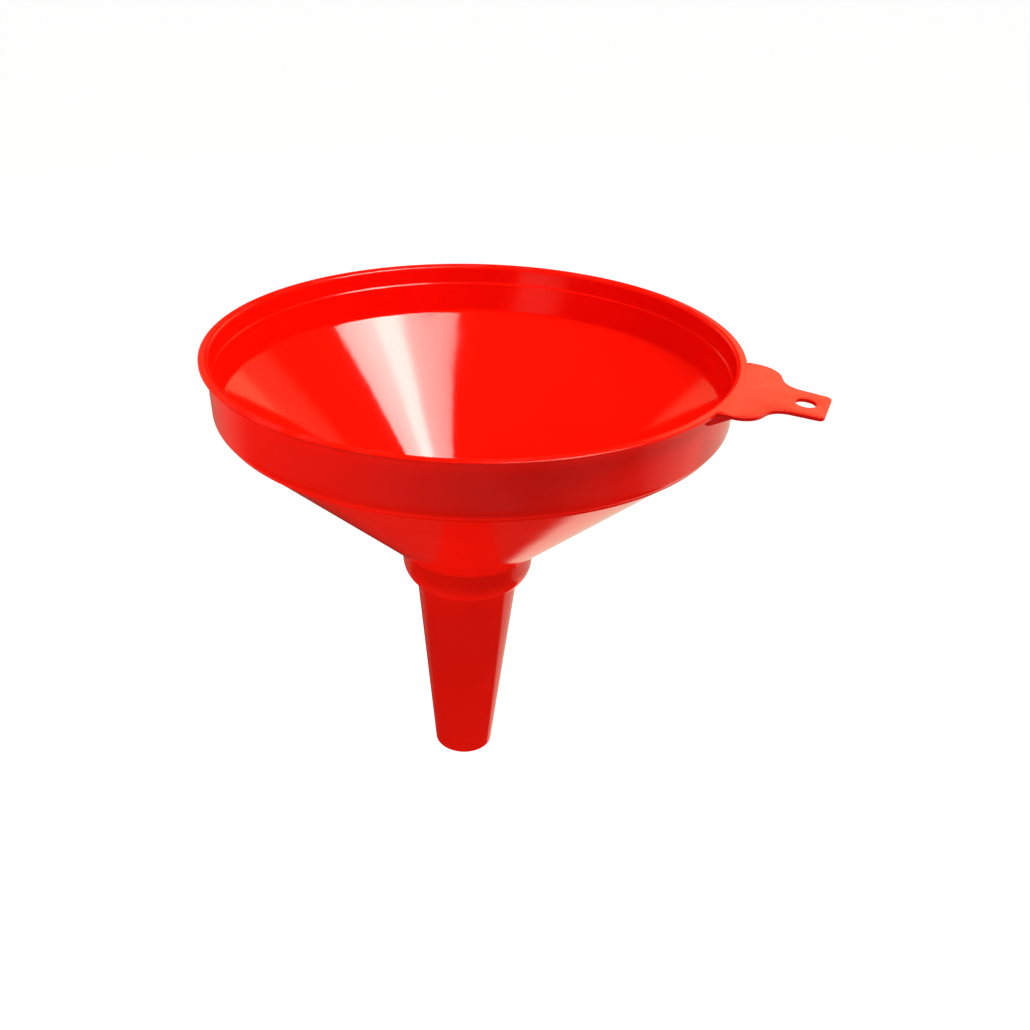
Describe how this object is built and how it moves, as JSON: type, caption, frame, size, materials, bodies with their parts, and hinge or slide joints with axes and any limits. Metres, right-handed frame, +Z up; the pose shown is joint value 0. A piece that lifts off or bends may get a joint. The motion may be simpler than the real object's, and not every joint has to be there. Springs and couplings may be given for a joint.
{
  "type": "funnel",
  "caption": "Wide-mouth plastic pouring funnel with an upright band, steep cone, stepped neck cup, tapered spout, flat hang tab with a hole, and a lift-out strainer.",
  "frame": {"origin": "on the funnel's axis at the seam between the cone and the neck cup, where a stand or a can's neck meets the cone", "axes": "+Z up along the axis to the mouth, +X along the hang tab, +Y completes a right-handed frame"},
  "size_m": [0.2891, 0.2524, 0.2379],
  "materials": {
    "funnel_plastic": "glossy red polyethylene with fine moulding and handling marks",
    "strainer_plastic": "semi-gloss red polyethylene",
    "gauze": "woven brass wire"
  },
  "bodies": {
    "funnel": {"rim_lip": "funnel_plastic", "bowl_band": "funnel_plastic", "bowl_cone": "funnel_plastic", "neck_cup": "funnel_plastic", "spout": "funnel_plastic", "hang_tab": "funnel_plastic", "tab_gussets": "funnel_plastic"},
    "strainer": {"strainer_frame": "strainer_plastic", "strainer_gauze": "gauze", "strainer_clamp_ring": "strainer_plastic"}
  },
  "joints": [
    {"name": "strainer_lift", "type": "slide", "parent": "funnel", "child": "strainer", "axis": [0, 0, 1], "range_m": [0, 0.16]}
  ]
}
